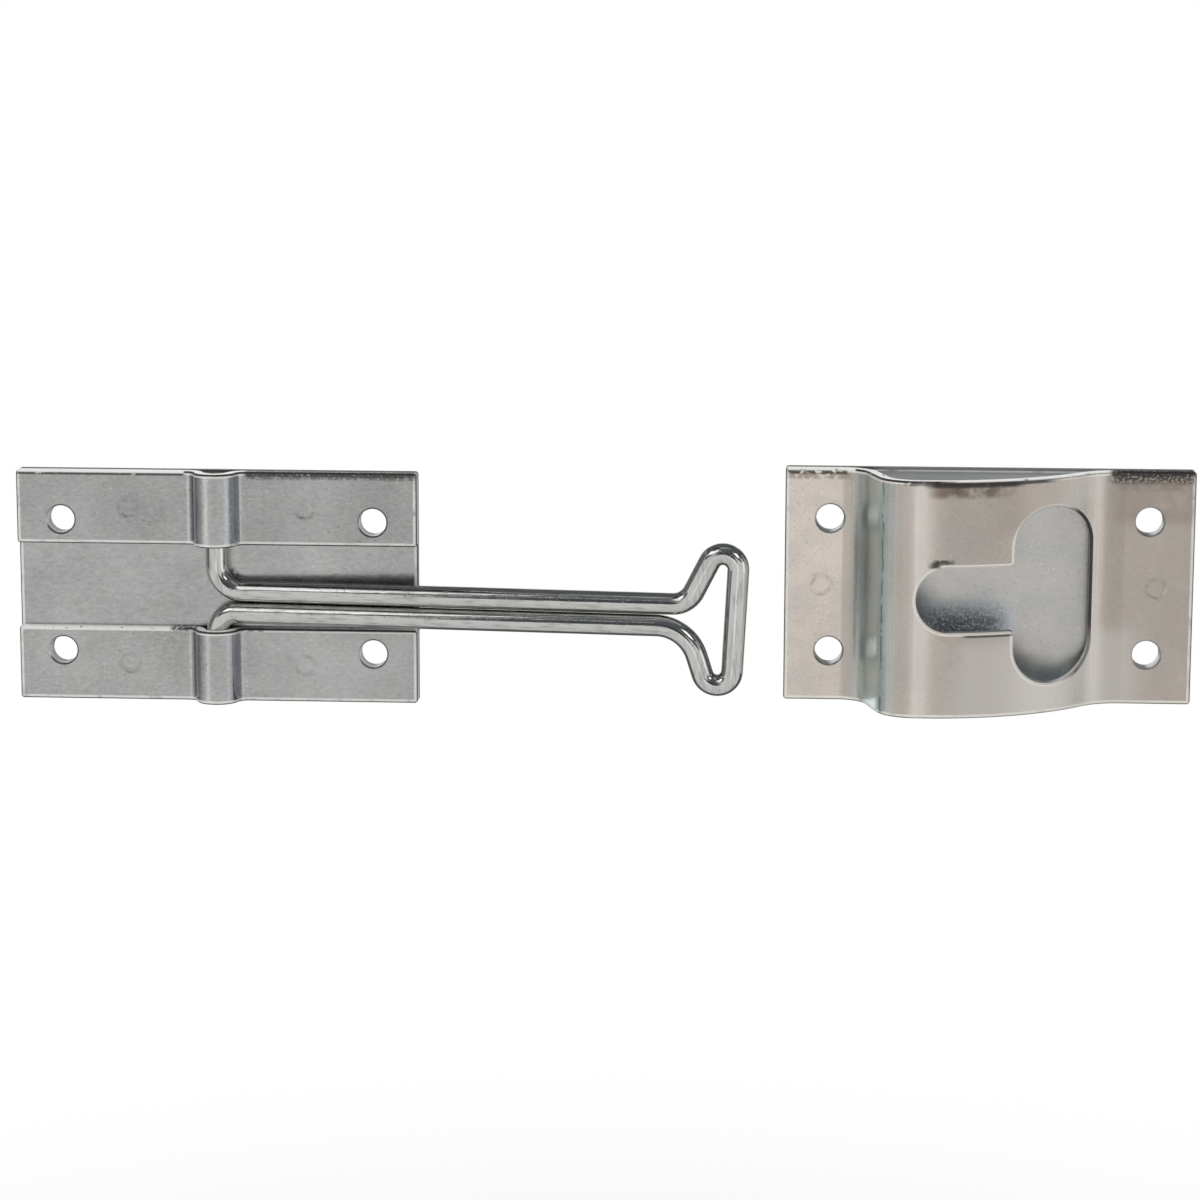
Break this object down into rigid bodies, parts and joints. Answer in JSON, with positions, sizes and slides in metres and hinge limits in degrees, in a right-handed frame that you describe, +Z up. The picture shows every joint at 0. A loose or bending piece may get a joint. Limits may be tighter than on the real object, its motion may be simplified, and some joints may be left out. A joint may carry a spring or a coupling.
{
  "type": "door hold-back hook",
  "caption": "Zinc plated door hold-back: a wire T hook hinged in a knuckled screw-on plate, and a bulged keeper with a T slot that the hook drops into to hold a door open.",
  "frame": {"origin": "middle of the hook plate's screw pattern, on the wall face that the back plates lie on", "axes": "+Z up, +X along the wall from the hook plate to the keeper, +Y into the wall; the front faces -Y"},
  "size_m": [0.2217, 0.0203, 0.0459],
  "materials": {
    "zinc_sheet": "zinc plated, satin",
    "zinc_keeper": "zinc plated, satin, slightly warm",
    "zinc_wire": "zinc plated, bright"
  },
  "bodies": {
    "plates": {"hook_back_plate": "zinc_sheet", "upper_knuckle_strap": "zinc_sheet", "lower_knuckle_strap": "zinc_sheet", "keeper_back_plate": "zinc_sheet", "keeper_strap": "zinc_keeper"},
    "hook": {"wire_t_hook": "zinc_wire"}
  },
  "joints": [
    {"name": "hook_swing", "type": "hinge", "parent": "plates", "child": "hook", "pos_m": [0, -0.0042, 0], "axis": [0, 0, -1], "range_deg": [-5.45, 174.55]}
  ]
}
